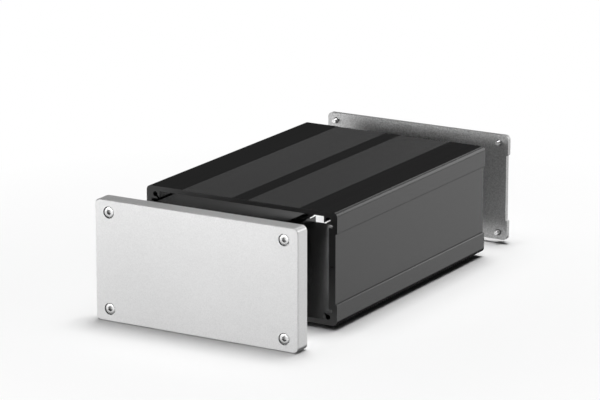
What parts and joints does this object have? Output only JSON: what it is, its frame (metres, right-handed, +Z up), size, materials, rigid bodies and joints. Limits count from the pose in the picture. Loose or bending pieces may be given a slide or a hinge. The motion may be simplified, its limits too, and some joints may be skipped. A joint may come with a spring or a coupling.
{
  "type": "amplifier chassis",
  "caption": "Split aluminium chassis: two like U-shaped shells joined by tongue and groove, a thick front plate and a thin rear plate with socket head screws, laid out open.",
  "frame": {"origin": "centre of the base shell's underside", "axes": "+X to the right seen from the front, +Y from the front plate to the rear plate, +Z up"},
  "size_m": [0.123, 0.245, 0.066],
  "materials": {
    "shell_anodised": "black anodised, satin",
    "front_plate_silver": "fine blasted, clear anodised",
    "rear_plate_silver": "fine grained, clear anodised",
    "screw_steel": "bright"
  },
  "bodies": {
    "base": {"base_shell": "shell_anodised"},
    "cover": {"cover_shell": "shell_anodised"},
    "front_plate": {"front_plate": "front_plate_silver"},
    "rear_plate": {"rear_plate": "rear_plate_silver"},
    "front_screw_upper_left": {"front_screw_upper_left": "screw_steel"},
    "front_screw_upper_right": {"front_screw_upper_right": "screw_steel"},
    "front_screw_lower_left": {"front_screw_lower_left": "screw_steel"},
    "front_screw_lower_right": {"front_screw_lower_right": "screw_steel"},
    "rear_screw_upper_left": {"rear_screw_upper_left": "screw_steel"},
    "rear_screw_upper_right": {"rear_screw_upper_right": "screw_steel"},
    "rear_screw_lower_left": {"rear_screw_lower_left": "screw_steel"},
    "rear_screw_lower_right": {"rear_screw_lower_right": "screw_steel"}
  },
  "joints": [
    {"name": "cover_lift", "type": "slide", "parent": "base", "child": "cover", "axis": [0, 0, 1], "range_m": [0, 0.035]},
    {"name": "front_plate_slide", "type": "slide", "parent": "base", "child": "front_plate", "axis": [0, -1, 0], "range_m": [-0.036, 0]},
    {"name": "rear_plate_slide", "type": "slide", "parent": "base", "child": "rear_plate", "axis": [0, 1, 0], "range_m": [-0.028, 0]},
    {"name": "front_screw_upper_left_slide", "type": "slide", "parent": "front_plate", "child": "front_screw_upper_left", "axis": [0, -1, 0], "range_m": [0, 0.038]},
    {"name": "front_screw_upper_right_slide", "type": "slide", "parent": "front_plate", "child": "front_screw_upper_right", "axis": [0, -1, 0], "range_m": [0, 0.038]},
    {"name": "front_screw_lower_left_slide", "type": "slide", "parent": "front_plate", "child": "front_screw_lower_left", "axis": [0, -1, 0], "range_m": [0, 0.038]},
    {"name": "front_screw_lower_right_slide", "type": "slide", "parent": "front_plate", "child": "front_screw_lower_right", "axis": [0, -1, 0], "range_m": [0, 0.038]},
    {"name": "rear_screw_upper_left_slide", "type": "slide", "parent": "rear_plate", "child": "rear_screw_upper_left", "axis": [0, 1, 0], "range_m": [0, 0.0395]},
    {"name": "rear_screw_upper_right_slide", "type": "slide", "parent": "rear_plate", "child": "rear_screw_upper_right", "axis": [0, 1, 0], "range_m": [0, 0.0395]},
    {"name": "rear_screw_lower_left_slide", "type": "slide", "parent": "rear_plate", "child": "rear_screw_lower_left", "axis": [0, 1, 0], "range_m": [0, 0.0395]},
    {"name": "rear_screw_lower_right_slide", "type": "slide", "parent": "rear_plate", "child": "rear_screw_lower_right", "axis": [0, 1, 0], "range_m": [0, 0.0395]}
  ]
}
